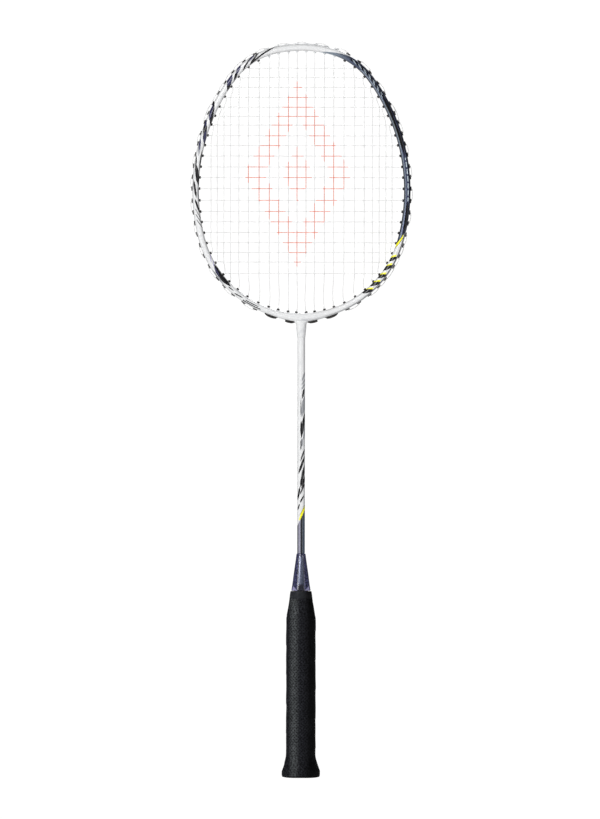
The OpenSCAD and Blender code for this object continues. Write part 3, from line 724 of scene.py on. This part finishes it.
def perforated_grip():
    """Black polyurethane grip tape: a fine leathery skin with rows of small holes."""
    p = Paint("grip_skin", Specular_IOR_Level=0.04)
    point, x, _, z = p.place()
    around, lap = p.number("around"), p.number("lap")
    grid = p.nodes.new("ShaderNodeTexVoronoi")
    grid.voronoi_dimensions = "2D"
    grid.inputs["Randomness"].default_value = 0.0
    grid.inputs["Scale"].default_value = HOLE_RATE
    slanted = p.vector(p.math("ADD", around, z), p.math("SUBTRACT", z, around))
    p.links.new(slanted, grid.inputs["Vector"])
    hole = p.spread(grid.outputs["Distance"], 0.16, 0.26, 1.0, 0.0)
    leather = p.noise(point, 1.8, 4)
    scuff = p.noise(p.vector(around, p.math("MULTIPLY", z, 0.6)), 0.12, 3)
    speckle = p.spread(p.noise(point, 0.75, 3), 0.38, 0.66)
    skin = p.mix(speckle, (0.003, 0.003, 0.004), (0.022, 0.023, 0.028))
    # light that is painted in: a paler strip on the left, and a very dark right side
    gleam = p.math("MULTIPLY", p.spread(x, -11.5, -8.0), p.spread(x, -1.0, -5.5))
    skin = p.mix(gleam, skin, p.mix(speckle, (0.024, 0.026, 0.027), (0.082, 0.088, 0.092)))
    skin = p.mix(p.spread(x, 1.0, 8.0), skin,
                 p.mix(speckle, (0.001, 0.001, 0.001), (0.005, 0.005, 0.006)))
    skin = p.mix(p.spread(scuff, 0.5, 0.8, 0.0, 0.2), skin, (0.026, 0.028, 0.032))
    skin = p.mix(p.spread(lap, 0.0, 0.05, 0.5, 0.0), skin, (0.003, 0.003, 0.004))
    p.set("Base Color", p.mix(hole, skin, (0.0015, 0.0015, 0.002)))
    p.set("Roughness", p.spread(leather, 0.3, 0.7, 0.42, 0.62))
    height = p.math("SUBTRACT", p.math("MULTIPLY", leather, 0.5), hole)
    p.bump(height, 0.7, 0.18)
    return p.material


def glossy_cone():
    """Deep navy moulded plastic with a paler metallic panel, whose face has painted light on its
    left and painted shade on its right.
    """
    p = Paint("cone_gloss", Coat_Weight=0.4, Coat_Roughness=0.15, IOR=1.5)
    point, x, _, _ = p.place()
    panel, corner, groove = p.number("panel"), p.number("corner"), p.number("groove")
    cloud = p.noise(point, 0.7, 3)
    base = p.mix(p.spread(cloud, 0.4, 0.7), DEEP_NAVY, (0.075, 0.075, 0.19))
    # the panel's own metallic navy, with painted light making it paler on the left and painted shade
    # making it darker on the right
    face = p.mix(p.spread(x, -1.5, 2.6), (0.20, 0.22, 0.31), (0.030, 0.040, 0.075))
    colour = p.mix(panel, base, face)
    colour = p.mix(corner, colour, (0.28, 0.27, 0.44))
    colour = p.mix(p.math("MULTIPLY", groove, 0.85), colour, BLACK)
    p.set("Base Color", colour)
    p.set("Metallic", p.math("MULTIPLY", panel, 0.5))
    p.set("Roughness", p.spread(cloud, 0.3, 0.7, 0.2, 0.34))
    p.bump(p.noise(point, 2.5, 2), 0.12, 0.03)
    return p.material


def matt_film():
    """The plastic film of the finishing tape, with fine stretch lines round it and painted shade
    darkening its right side.
    """
    p = Paint("finishing_film", IOR=1.5, Specular_IOR_Level=0.1)
    _, x, y, z = p.place()
    lines = p.noise(p.vector(p.math("MULTIPLY", x, 0.1), p.math("MULTIPLY", y, 0.1), z), 3.0, 3)
    film = p.mix(p.spread(lines, 0.4, 0.7), (0.012, 0.013, 0.016), (0.034, 0.037, 0.042))
    # painted shade: the film darkens towards the right side
    p.set("Base Color", p.mix(p.spread(x, -3.0, 7.0), film, (0.003, 0.003, 0.004)))
    p.set("Roughness", p.spread(lines, 0.3, 0.7, 0.4, 0.6))
    p.bump(lines, 0.5, 0.05)
    return p.material


# ---- head ----

def make_hoop(lacquer):
    rings, sides = 720, 40
    outline = superellipse(sides, SECTION_POWER)
    points, distances, offsets = [], [], []
    for i in range(rings):
        phi = 360 * i / rings
        for q in outline:
            off = (outer_half(phi) if q[0] > 0 else inner_half(phi)) * q[0]
            points.append(head_point(phi, off, 0, FRAME_DEPTH / 2 * q[1]))
            offsets.append(off)
        distances += [along(phi)] * sides
    faces = [tuple(reversed(f)) for f in ring_faces(rings, sides, closed=True)]
    hoop = add_piece("hoop", points, faces, lacquer, ["head_frame"])
    add_number(hoop, "along", distances)
    add_number(hoop, "offset", offsets)


NECK_FOOT = 404.0
NECK_R = (3.8, 4.65)
NECK_FILLET = 2.2
NECK_DEPTH = 5.0
# The bevel at its foot, and how much taller than wide the fillet is
NECK_BEVEL = 0.25
FILLET_STRETCH = 1.2


def make_neck(lacquer):
    """The neck: round at the shaft, flatter in depth higher up, and filleted into the hoop."""
    _, radius, _, z = ARCS[-1]
    eave = z - radius - outer_half(180)
    profile = [(NECK_FOOT, NECK_R[0] - NECK_BEVEL), (NECK_FOOT + NECK_BEVEL, NECK_R[0])]
    straight_end = eave - NECK_FILLET - FILLET_STRETCH
    for k in range(1, 9):
        t = k / 8
        profile.append((NECK_FOOT + NECK_BEVEL + (straight_end - NECK_FOOT - NECK_BEVEL) * t,
                        NECK_R[0] + (NECK_R[1] - NECK_R[0]) * smooth(t)))
    for k in range(1, 10):
        a = math.pi / 2 * k / 10
        profile.append((straight_end + (NECK_FILLET + FILLET_STRETCH) * math.sin(a),
                        NECK_R[1] + NECK_FILLET * (1 - math.cos(a))))
    profile.append((eave + 1.6, NECK_R[1] + NECK_FILLET + 0.3))
    sides = 64
    points = []
    for height, half in profile:
        depth = min(half, NECK_DEPTH)
        power = 2 + 0.5 * smooth((height - NECK_FOOT) / 16)
        for a, b in superellipse(sides, power):
            points.append((half * a, depth * b, height))
    faces = ring_faces(len(profile), sides)
    add_piece("neck", points, faces, lacquer, ["throat_neck"])


# ---- strings ----

def col_hole(c, upper):
    h = (TOP_HOLES if upper else LOW_HOLES)[HALF_COLS - 1 - c if c < HALF_COLS else c - HALF_COLS]
    return 360 - h if c < HALF_COLS else h


def col_x(c):
    return -MAIN_X[HALF_COLS - 1 - c] if c < HALF_COLS else MAIN_X[c - HALF_COLS]


def row_hole(r, right):
    return ROW_HOLES[r] if right else 360 - ROW_HOLES[r]


def over(c, r):
    """+1 where the main lies behind the string plane."""
    return 1 if (c + r) % 2 == 0 else -1


# Two strings cross where they meet this far short of a main's hole and of a cross's, or
# more, and a crossing nearer the frame than the last is drawn in
CROSSING_GAP = 1.5
SIDE_GAP = 0.5
SIDE_ROOM = 2.2

# Where the strings are tied: the mains' row, and the crosses' columns at the top and the foot
MAIN_TIE = 17
CROSS_TIES = (HALF_COLS - 5, HALF_COLS + 7)


def crossed(c, r):
    high = inside(col_hole(c, True), INNER_BEND)[2] - CROSSING_GAP
    low = inside(col_hole(c, False), INNER_BEND)[2] + CROSSING_GAP
    towards_shaded_edge = inside(ROW_HOLES[r], INNER_BEND)[0] - SIDE_GAP
    return low < ROW_Z[r] < high and abs(col_x(c)) < towards_shaded_edge


def crossing_x(c, r):
    """A crossing that would lie too near the frame is drawn in a little."""
    room = inside(ROW_HOLES[r], INNER_BEND)[0] - SIDE_ROOM
    return math.copysign(min(abs(col_x(c)), room), col_x(c))


def through(phi, y, way):
    """A string through a hole, from the inner bend to the loop outside."""
    return [inside(phi, INNER_BEND, 0, y), inside(phi, BARREL_PROUD - 0.5, 0, y),
            outside(phi, FLANGE_T - 0.35, 0, y), outside(phi, LOOP_RISE - 0.3, 0.22 * way, y),
            outside(phi, LOOP_RISE, 0.8 * way, y)]


def way_to(start, end):
    return 1 if (end - start + 540) % 360 - 180 > 0 else -1


def tail(phi, start, y):
    """The string's end goes on round the outside and comes back in at a neighbour's hole."""
    back = through(phi, y, way_to(phi, start))[::-1]
    return back + [inside(phi, BARREL_PROUD + 0.8, 0, 2 * y),
                   inside(phi, BARREL_PROUD + 1.2, 0, 3.4 * y)]


def string_path(holes, runs, y, start_tie, end_tie):
    """One string from tie to tie. holes and runs give, for each stretch, the hole where it
    comes in, the hole where it goes out, and its crossings on the way."""
    path = tail(start_tie, holes[0][0], y)[::-1]
    before = start_tie
    for k, (enter, leave) in enumerate(holes):
        after = holes[k + 1][0] if k + 1 < len(holes) else end_tie
        path += through(enter, y, way_to(enter, before))[::-1]
        path += runs[k]
        path += through(leave, y, way_to(leave, after))
        before = leave
    return path + tail(end_tie, holes[-1][1], y)


def main_path():
    holes, runs = [], []
    for c in range(N_COLS):
        up = c % 2 == 0
        rows = [r for r in range(N_ROWS) if crossed(c, r)]
        run = [np.array([crossing_x(c, r), WEAVE * over(c, r), ROW_Z[r]]) for r in rows]
        runs.append(run[::-1] if up else run)
        holes.append((col_hole(c, not up), col_hole(c, up)))
    return string_path(holes, runs, WEAVE, row_hole(MAIN_TIE, False), row_hole(MAIN_TIE, True))


def cross_path():
    holes, runs = [], []
    for r in range(N_ROWS):
        rightwards = r % 2 == 0
        cols = [c for c in range(N_COLS) if crossed(c, r)]
        run = [np.array([crossing_x(c, r), -WEAVE * over(c, r), ROW_Z[r]]) for c in cols]
        runs.append(run if rightwards else run[::-1])
        holes.append((row_hole(r, not rightwards), row_hole(r, rightwards)))
    return string_path(holes, runs, -WEAVE, col_hole(CROSS_TIES[0], True),
                       col_hole(CROSS_TIES[1], False))


STRING_SIDES = 10
KNOT_R = 0.62


def knot_path(end, heading):
    """A small overhand knot about the string's end, with a cut tail."""
    side = unit(np.cross(heading, [0.3, 1.0, 0.2]))
    lift = np.cross(heading, side)
    path = []
    for k in range(48):
        t = 2 * math.pi * (k / 48 * 0.92 + 0.04)
        r = KNOT_R * (0.62 + 0.38 * math.cos(3 * t))
        path.append(end + r * math.cos(2 * t) * side + r * math.sin(2 * t) * lift
                    + 0.42 * math.sin(3 * t) * heading)
    return path


def loop_tube(path, radius, sides):
    """A tube along any path, with a frame carried along it."""
    path = np.asarray(path, float)
    heading = np.gradient(path, axis=0)
    heading /= np.linalg.norm(heading, axis=1)[:, None]
    across = unit(np.cross(heading[0], [0.3, 0.2, 1.0]))
    points = []
    for p, h in zip(path, heading):
        across = unit(across - h * np.dot(across, h))
        up = np.cross(h, across)
        for k in range(sides):
            a = 2 * math.pi * k / sides
            points.append(p + radius * (math.cos(a) * across + math.sin(a) * up))
    return np.array(points), ring_faces(len(path), sides)


def make_string(name, path, material, node):
    curve = eased(path, 1.4)
    points, faces = tube(curve, STRING_R, STRING_SIDES)
    points, faces = list(points), list(faces)
    for end, neighbour in ((path[0], path[1]), (path[-1], path[-2])):
        heading = unit(end - neighbour)
        knot, knot_faces = loop_tube(knot_path(end, heading), STRING_R * 0.95, 8)
        base = len(points)
        points += list(knot)
        faces += [tuple(base + i for i in f) for f in knot_faces]
    add_piece(name, points, faces, material, [node])


# ---- shaft, cone, grip ----

SHAFT_R = 3.5
SHAFT_BORE_R = 2.3
CONE_FOOT, CONE_TOP = 171.7, 206.0
# (height above the foot, radius)
CONE_PROFILE = [(0.0, 8.8), (0.6, 9.15), (6.0, 8.2), (14.0, 7.05), (22.0, 5.85),
                (28.3, 4.85), (33.0, 4.3), (34.3, 3.85)]
# How far the octagon's corners reach before they are rounded off to the profile
FACET_REACH = 1.045
# The panel's half width at the foot and what it loses by the top, and its plain top end
PANEL_HALF, PANEL_TAPER, PANEL_END = 3.1, 1.5, 3
# The round tab at the panel's foot
TAB_CENTRE, TAB_HALF = 3.2, 3.0
GROOVE_HALF, GROOVE_DEPTH = 0.55, 0.16


def profile_at(profile, height):
    heights = [p[0] for p in profile]
    return float(np.interp(height, heights, [p[1] for p in profile]))


def make_shaft(paint):
    low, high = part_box("shaft")
    foot, top = low.z / MM, high.z / MM
    sides, rings = 72, 120
    outer = [(SHAFT_R, foot + (top - foot) * i / rings) for i in range(rings + 1)]
    loop = outer + [(SHAFT_BORE_R, top), (SHAFT_BORE_R, foot)]
    points = []
    for radius, height in loop:
        for k in range(sides):
            a = 2 * math.pi * k / sides
            points.append((radius * math.cos(a), radius * math.sin(a), height))
    faces = ring_faces(len(loop), sides, closed=True)
    shaft = add_piece("shaft_tube", points, faces, paint, ["shaft"])
    sharpen(shaft)


def sharpen(piece, degrees=40):
    """Keeps edges sharper than this crisp under smooth shading."""
    bpy.context.view_layer.objects.active = piece
    piece.select_set(True)
    bpy.ops.object.shade_smooth_by_angle(angle=math.radians(degrees))
    piece.select_set(False)


def make_cone(gloss):
    """A faceted cone: eight soft facets at the foot that turn round towards the shaft, with a
    framed panel and a rounded tab on the front and the back."""
    sides, rings = 192, 88
    points, panels, corners, grooves = [], [], [], []
    height = CONE_TOP - CONE_FOOT
    for i in range(rings + 1):
        h = height * i / rings
        radius = profile_at(CONE_PROFILE, h)
        facet = 1 - smooth(h / (0.85 * height))
        for k in range(sides):
            a = 2 * math.pi * (k + 0.5) / sides
            wedge = (a + math.pi / 8) % (math.pi / 4) - math.pi / 8
            flat = math.cos(math.pi / 8) / math.cos(wedge) * FACET_REACH
            r = radius * (1 + facet * (min(flat, 1.0) - 1))
            across = r * math.cos(a)
            panel_half = PANEL_HALF - PANEL_TAPER * h / height
            tab = math.hypot(across, max(0.0, h - TAB_CENTRE))
            to_panel = panel_half - abs(across)
            on_face = abs(math.sin(a)) > 0.5
            in_tab = on_face and tab < TAB_HALF and h < TAB_CENTRE + TAB_HALF + 0.2
            in_panel = on_face and to_panel > 0 and not in_tab and h < height - PANEL_END
            gap = abs(to_panel) if h > TAB_CENTRE + TAB_HALF else abs(tab - TAB_HALF)
            fade = smooth((height - PANEL_END - h) / 2) * (1.0 if on_face else 0.0)
            groove = fade * smooth(1 - gap / GROOVE_HALF)
            slope = abs(across) - (3.4 + 0.9 * h)
            in_corner = on_face and h < 5.2 and 0 < slope and abs(across) < radius * 0.86
            r -= GROOVE_DEPTH * groove
            points.append((r * math.cos(a), r * math.sin(a), CONE_FOOT + h))
            panels.append(1.0 if in_panel else 0.0)
            corners.append(1.0 if in_corner else 0.0)
            grooves.append(1.0 if in_tab else groove)
    faces = ring_faces(rings + 1, sides)
    cone = add_piece("cone", points, faces, gloss, ["cone_cap"])
    add_number(cone, "panel", panels)
    add_number(cone, "corner", corners)
    add_number(cone, "groove", grooves)


TAPE_T = 1.75
CORE_HALF = (12.0, 10.5, 11.55)
BUTT_FLARE = 4.0
FLARE_FOOT, FLARE_TOP = 6.5, 21.0
FLARE_POWER = 1.35
TAPER_START, TAPER_EASE = 146.0, 3.0
GRIP_TOP = 171.5
TOP_HALF = 9.4
BUTT_ROUND = 3.2
TAPE_FOOT = 0.9
WRAP_PITCH = 27.0
WRAP_STEP = 0.26
# How deep below the tape's outer face the wrap's middle level and the band's inside lie
WRAP_SINK = 0.12
BAND_SINK = 0.4
# The band's outer face: (height, how far it stands off the wrap)
BAND_PROFILE = [(164.6, 0.05), (164.8, 0.12), (167.0, 0.14), (167.2, 0.24), (170.9, 0.26),
                (171.4, 0.18), (171.5, 0.0)]
BAND_SOFTNESS = 7.0
# The end cap, from the middle of its outside: (share of the grip's size, height)
CAP_ROWS = [(0.02, 0.0), (0.30, 0.0), (0.34, 0.22), (0.38, 0.0), (0.60, 0.12), (0.78, 0.42),
            (0.90, 0.85), (0.955, 1.35), (0.96, 3.2), (0.02, 3.2)]


def grip_half(half, z):
    """How far a face of the wrapped handle stands from the axis at height z."""
    if z < FLARE_FOOT:
        drop = max(0.0, BUTT_ROUND - z) / BUTT_ROUND
        return half + BUTT_FLARE - BUTT_ROUND * (1 - math.sqrt(1 - min(1, drop) ** 2))
    if z < FLARE_TOP:
        return half + BUTT_FLARE * ((FLARE_TOP - z) / (FLARE_TOP - FLARE_FOOT)) ** FLARE_POWER
    past = max(0.0, z - TAPER_START)
    eased_in = past * smooth(past / TAPER_EASE)
    return half + (TOP_HALF - half) * eased_in / (GRIP_TOP - TAPER_START)


def octagon_radius(halves, angle, softness=6.0):
    """Radius of a soft-cornered octagon whose faces stand halves from the axis."""
    total = 0.0
    for k in range(8):
        lean = math.cos(angle - k * math.pi / 4)
        if lean > 0.05:
            half = halves[2] if k % 2 else halves[0 if k % 4 == 0 else 1]
            total += (lean / half) ** (2 * softness)
    return total ** (-1 / (2 * softness))


def make_grip(skin):
    """Tape wound up the octagonal handle, each turn lapping a little over the last."""
    sides, rings = 224, 300
    top = GRIP_TOP - 0.2
    points, arounds, laps = [], [], []
    for i in range(rings + 1):
        z = TAPE_FOOT + (top - TAPE_FOOT) * i / rings
        halves = [grip_half(half + TAPE_T - WRAP_SINK, z) for half in CORE_HALF]
        around, last = 0.0, None
        for k in range(sides):
            a = 2 * math.pi * k / sides
            lap = (z / WRAP_PITCH + a / (2 * math.pi)) % 1.0
            lift = WRAP_STEP * (smooth(lap / 0.05) * (1 - lap) - 0.5)
            worn = 0.12 * math.sin(3 * a + z * 0.21) * math.sin(z * 0.13 + 2 * a)
            fade = smooth((z - 3) / 6) * smooth((GRIP_TOP - 5 - z) / 10)
            r = octagon_radius(halves, a) + (lift + worn) * fade
            here = np.array([r * math.cos(a), r * math.sin(a)])
            around += 0.0 if last is None else float(np.linalg.norm(here - last))
            last = here
            points.append((here[0], here[1], z))
            arounds.append(around)
            laps.append(lap)
    faces = ring_faces(rings + 1, sides)
    grip = add_piece("grip_wrap", points, faces, skin, ["grip_tape"])
    add_number(grip, "around", arounds)
    add_number(grip, "lap", laps)


def octagon_ring(halves, z, sides):
    """Points round a crisper octagon at height z."""
    ring = []
    for k in range(sides):
        a = 2 * math.pi * k / sides
        r = octagon_radius(halves, a, BAND_SOFTNESS)
        ring.append((r * math.cos(a), r * math.sin(a), z))
    return ring


def make_finishing_band(film):
    """The tape that holds the top of the grip: two turns, the second a little narrower."""
    sides = 128
    points = []
    for z, lift in BAND_PROFILE:
        halves = [grip_half(half + TAPE_T - WRAP_SINK, z) + lift for half in CORE_HALF]
        points += octagon_ring(halves, z, sides)
    for z in (BAND_PROFILE[-1][0], BAND_PROFILE[0][0]):
        halves = [grip_half(half + TAPE_T - BAND_SINK, z) for half in CORE_HALF]
        points += octagon_ring(halves, z, sides)
    faces = ring_faces(len(BAND_PROFILE) + 2, sides, closed=True)
    add_piece("finishing_band", points, faces, film, ["finishing_tape"])


def make_butt(rubber):
    """The end cap: a shallow dome with a ring groove, rounded under the grip's edge."""
    sides = 128
    points = []
    for share, z in CAP_ROWS:
        halves = [grip_half(half + TAPE_T, 2.0) * share for half in CORE_HALF]
        points += octagon_ring(halves, z, sides)
    faces = ring_faces(len(CAP_ROWS), sides)
    cap = add_piece("end_cap", points, faces, rubber, ["butt_cap"])
    sharpen(cap, 35)


# ---- carried-over nodes ----

def dress(node, material):
    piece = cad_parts[node]
    piece.data.materials.clear()
    piece.data.materials.append(material)


# ---- floor, light and camera ----

# The height and middle of what the camera sees, in metres
VIEW_HEIGHT = 0.7511
VIEW_X, VIEW_Z = -0.0011, 0.3380
# How far the racket leans in the view, in degrees
VIEW_ROLL = -0.07

# Half the floor's width, in metres
FLOOR_HALF = 16
# How much of the floor's look is an even glow that only the camera sees, and its level
GLOW_SHARE, GLOW = 0.72, 0.8
# The room's brightness to the camera, and as light
ROOM_SEEN, ROOM_LIT = 1.05, 0.08


def make_stage():
    """Pale paper, evenly bright out to its edge, with a soft shadow."""
    p = Paint("floor_paper", Roughness=0.9)
    point = p.place()[0]
    p.set("Base Color", p.mix(p.noise(point, 0.02, 2), (0.90, 0.90, 0.90), (0.94, 0.94, 0.94)))
    glow = p.nodes.new("ShaderNodeEmission")
    glow.inputs["Strength"].default_value = GLOW
    seen = p.nodes.new("ShaderNodeLightPath")
    blend = p.nodes.new("ShaderNodeMixShader")
    p.put(p.math("MULTIPLY", seen.outputs["Is Camera Ray"], GLOW_SHARE), blend.inputs[0])
    p.links.new(p.shader.outputs[0], blend.inputs[1])
    p.links.new(glow.outputs[0], blend.inputs[2])
    p.links.new(blend.outputs[0], p.nodes["Material Output"].inputs[0])
    mesh = bpy.data.meshes.new("floor")
    corners = [(FLOOR_HALF * a, FLOOR_HALF * b, 0) for a, b in ((-1, -1), (1, -1), (1, 1), (-1, 1))]
    mesh.from_pydata(corners, [], [(0, 1, 2, 3)])
    mesh.materials.append(p.material)
    floor = bpy.data.objects.new("floor", mesh)
    floor.location.z = cad_box[0][2]
    bpy.context.scene.collection.objects.link(floor)


def add_light(name, place, aim, size, power):
    light = bpy.data.lights.new(name, "AREA")
    light.shape = "RECTANGLE"
    light.size, light.size_y = size
    light.energy = power
    lamp = bpy.data.objects.new(name, light)
    lamp.location = place
    lamp.rotation_euler = (Vector(aim) - Vector(place)).to_track_quat("-Z", "Y").to_euler()
    bpy.context.scene.collection.objects.link(lamp)


def make_light():
    """A room that looks plain white and gives little light, and three large soft lamps."""
    world = bpy.data.worlds.new("studio")
    world.use_nodes = True
    nodes, links = world.node_tree.nodes, world.node_tree.links
    background = nodes["Background"]
    background.inputs["Color"].default_value = (1, 1, 1, 1)
    seen = nodes.new("ShaderNodeLightPath")
    strength = nodes.new("ShaderNodeMapRange")
    strength.inputs["To Min"].default_value = ROOM_LIT
    strength.inputs["To Max"].default_value = ROOM_SEEN
    links.new(seen.outputs["Is Camera Ray"], strength.inputs["Value"])
    links.new(strength.outputs[0], background.inputs["Strength"])
    bpy.context.scene.world = world
    bpy.context.scene.view_settings.view_transform = "Standard"
    middle = (0, 0, 0.34)
    add_light("key", (-2.0, -3.6, 2.26), middle, (1.2, 3.2), 180)
    add_light("fill", (3.0, -3.2, 0.8), middle, (1.4, 2.0), 32)
    add_light("back", (0.9, 3.1, 2.9), middle, (2.4, 2.4), 104)


def make_camera():
    camera = bpy.data.cameras.new("camera")
    camera.type = "ORTHO"
    camera.ortho_scale = VIEW_HEIGHT
    holder = bpy.data.objects.new("camera", camera)
    holder.location = (VIEW_X, -3, VIEW_Z)
    holder.rotation_euler = (math.radians(90), math.radians(VIEW_ROLL), 0)
    bpy.context.scene.collection.objects.link(holder)
    bpy.context.scene.camera = holder


make_camera()
make_light()
make_stage()

make_hoop(painted_head())
make_neck(painted_neck())
nylon = inked_nylon()
make_string("main_weave", main_path(), nylon, "main_string")
make_string("cross_weave", cross_path(), nylon, "cross_string")
make_shaft(painted_shaft())
make_cone(glossy_cone())
make_grip(perforated_grip())
make_finishing_band(matt_film())
make_butt(moulded("cap_rubber", (0.012, 0.012, 0.014), (0.03, 0.03, 0.032), 0.5))

black_nylon = moulded("grommet_nylon", (0.012, 0.010, 0.010), (0.03, 0.026, 0.024), 0.42)
pale_nylon = moulded("grommet_pale_nylon", (0.78, 0.79, 0.80), (0.62, 0.63, 0.65), 0.42)
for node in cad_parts:
    if node.endswith("grommets") or node.endswith("saddle"):
        dress(node, pale_nylon if node.startswith("crown") else black_nylon)
dress("t_joint", carbon())
dress("handle_core", turned_wood())
dress("butt_staples", brushed_steel())
